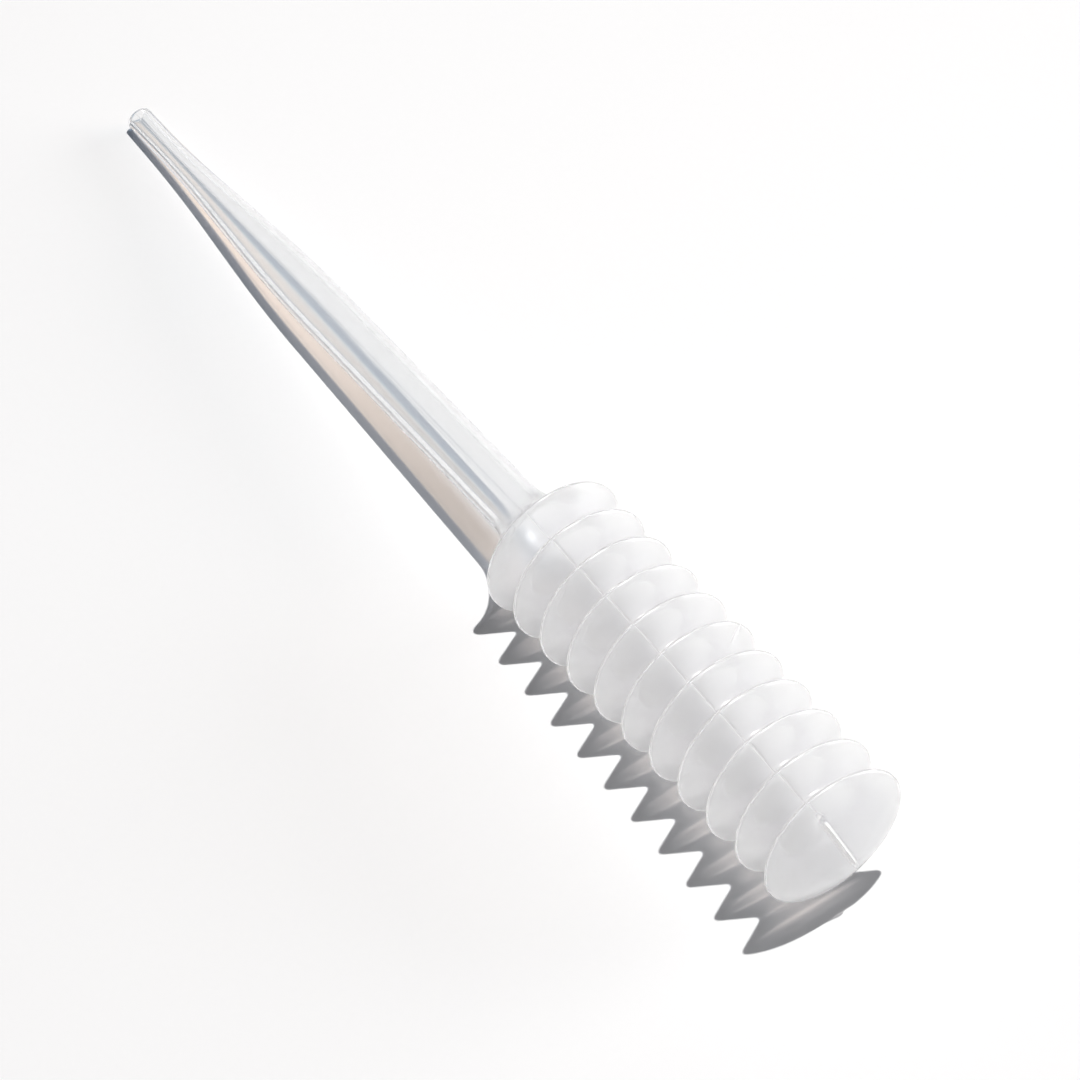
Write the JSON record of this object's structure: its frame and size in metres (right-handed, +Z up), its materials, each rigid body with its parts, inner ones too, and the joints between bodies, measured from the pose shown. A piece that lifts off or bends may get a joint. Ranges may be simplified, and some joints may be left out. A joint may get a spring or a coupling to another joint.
{
  "type": "dropper pipette",
  "caption": "Blow-moulded dropper pipette lying at rest: slim tube stem narrowing to an open tip, with a folded bellows bulb whose far end is pinched shut.",
  "frame": {"origin": "on the surface that the pipette lies on, midway between the ends of its bounding box and under its axis", "axes": "+X from the open tip towards the bulb's closed end along the surface, +Z up; the pipette's own axis rises 4.7 degrees from +X towards the bulb"},
  "size_m": [0.1292, 0.0166, 0.0201],
  "materials": {
    "ldpe": "natural low-density polyethylene, clear and glossy along the stem, finely frosted on the bellows"
  },
  "bodies": {
    "root": {"pipette": "ldpe"}
  },
  "joints": []
}
